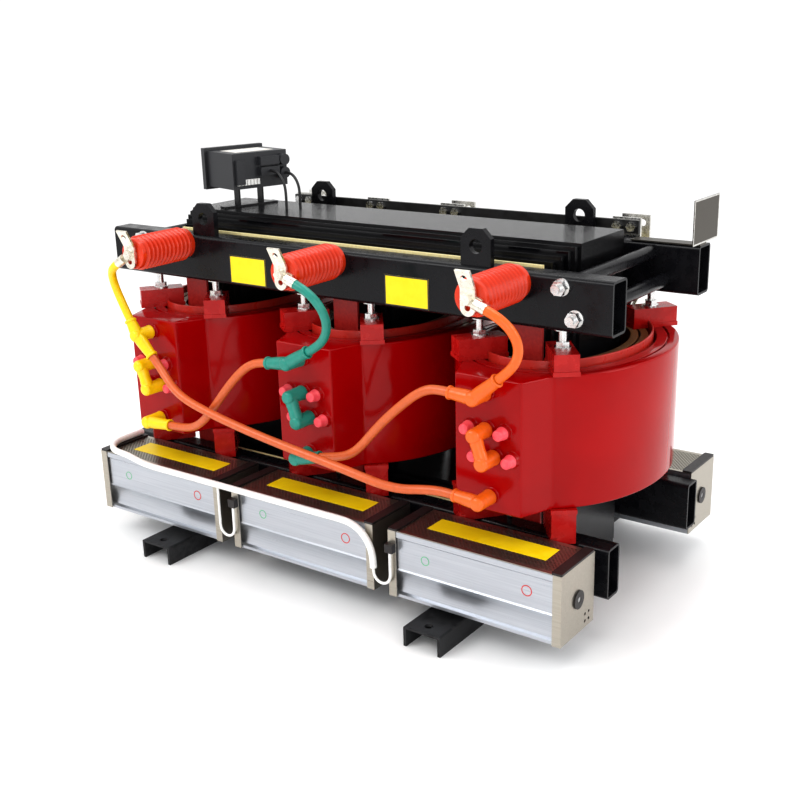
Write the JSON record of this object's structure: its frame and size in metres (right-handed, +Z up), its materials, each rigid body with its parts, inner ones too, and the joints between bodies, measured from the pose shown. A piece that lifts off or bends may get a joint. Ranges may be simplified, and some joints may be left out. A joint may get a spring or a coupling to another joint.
{
  "type": "dry type transformer",
  "caption": "Three-phase cast-resin dry type transformer: stepped core, oval red coils, ribbed post insulators, boots, cables and cross-flow cooling fans.",
  "frame": {"origin": "centre of the core, on the floor under the base channels", "axes": "+X along the row of coils, -Y the high-voltage side with the post insulators, +Z up"},
  "size_m": [1.212, 0.803, 0.8227],
  "materials": {
    "black_enamel": "satin black enamel",
    "phase_yellow": "yellow silicone rubber",
    "phase_green": "green silicone rubber",
    "phase_orange": "orange silicone rubber",
    "cable_brown": "brown-orange silicone cable",
    "black_lead": "black lead",
    "white_conduit": "white plastic sleeve",
    "core_steel": "black varnished laminations",
    "zinc_plate": "bright zinc plate",
    "black_plastic": "black moulded plastic",
    "stainless_sheet": "stainless sheet",
    "fan_aluminium": "brushed anodised aluminium",
    "rotor_aluminium": "plain aluminium",
    "packer_black": "satin black enamel",
    "tinned_copper": "tinned copper",
    "red_resin": "cast resin, glossy red",
    "tinned_bar": "tinned copper bar",
    "foil_coil": "foil winding with amber insulation edges",
    "bar_sleeve": "black heat-shrink sleeve",
    "insulator_resin": "orange-red epoxy, glossy",
    "etched_plate": "dark etched metal plate, bare",
    "cap_pink": "red silicone caps",
    "controller_plastic": "black ABS case",
    "red_board": "red glass laminate",
    "block_resin": "moulded red resin blocks",
    "pale_board": "pale yellow glass laminate"
  },
  "bodies": {
    "root": {"base_channels": "black_enamel", "boots_a": "phase_yellow", "boots_b": "phase_green", "boots_c": "phase_orange", "cable_delta_ab": "cable_brown", "cable_delta_ac": "cable_brown", "cable_delta_bc": "cable_brown", "cable_jumper_a": "phase_yellow", "cable_jumper_b": "phase_green", "cable_jumper_c": "phase_orange", "clamp_upper_front": "black_enamel", "clamp_upper_rear": "black_enamel", "controller_lead": "black_lead", "controller_stand": "black_enamel", "controller_wires": "white_conduit", "core_limb_a": "core_steel", "core_limb_b": "core_steel", "core_limb_c": "core_steel", "core_yoke_bottom": "core_steel", "core_yoke_top": "core_steel", "fan_brackets": "zinc_plate", "fan_caps": "black_plastic", "fan_conduit": "white_conduit", "fan_end_plates": "stainless_sheet", "fan_grilles": "stainless_sheet", "fan_housings_front": "fan_aluminium", "fan_housings_rear": "fan_aluminium", "fan_lead_1": "white_conduit", "fan_lead_2": "white_conduit", "fan_motors": "black_plastic", "fasteners": "zinc_plate", "foot_packers": "packer_black", "hv_terminals": "tinned_copper", "hv_winding_a": "red_resin", "hv_winding_b": "red_resin", "hv_winding_c": "red_resin", "lower_clamps": "black_enamel", "lv_bars": "tinned_bar", "lv_winding_a": "foil_coil", "lv_winding_b": "foil_coil", "lv_winding_c": "foil_coil", "neutral_bar": "bar_sleeve", "post_insulators": "insulator_resin", "rating_plate": "etched_plate", "tap_caps": "cap_pink", "temperature_controller": "controller_plastic", "tie_plates": "red_board", "tie_rod_sleeves": "black_enamel", "tie_rods": "zinc_plate", "winding_barriers": "red_board", "winding_blocks_lower": "block_resin", "winding_blocks_upper": "block_resin", "yoke_boards": "pale_board"},
    "rotor_1": {"fan_rotor_1": "rotor_aluminium"},
    "rotor_2": {"fan_rotor_2": "rotor_aluminium"},
    "rotor_3": {"fan_rotor_3": "rotor_aluminium"},
    "rotor_4": {"fan_rotor_4": "rotor_aluminium"},
    "rotor_5": {"fan_rotor_5": "rotor_aluminium"},
    "rotor_6": {"fan_rotor_6": "rotor_aluminium"}
  },
  "joints": [
    {"name": "fan_spin_1", "type": "hinge", "parent": "root", "child": "rotor_1", "pos_m": [-0.375, -0.286, 0.1244], "axis": [1, 0, 0], "continuous": true},
    {"name": "fan_spin_2", "type": "hinge", "parent": "root", "child": "rotor_2", "pos_m": [0.018, -0.286, 0.1244], "axis": [1, 0, 0], "continuous": true},
    {"name": "fan_spin_3", "type": "hinge", "parent": "root", "child": "rotor_3", "pos_m": [0.411, -0.286, 0.1244], "axis": [1, 0, 0], "continuous": true},
    {"name": "fan_spin_4", "type": "hinge", "parent": "root", "child": "rotor_4", "pos_m": [-0.375, 0.263, 0.1244], "axis": [1, 0, 0], "continuous": true},
    {"name": "fan_spin_5", "type": "hinge", "parent": "root", "child": "rotor_5", "pos_m": [0.018, 0.263, 0.1244], "axis": [1, 0, 0], "continuous": true},
    {"name": "fan_spin_6", "type": "hinge", "parent": "root", "child": "rotor_6", "pos_m": [0.411, 0.263, 0.1244], "axis": [1, 0, 0], "continuous": true}
  ]
}
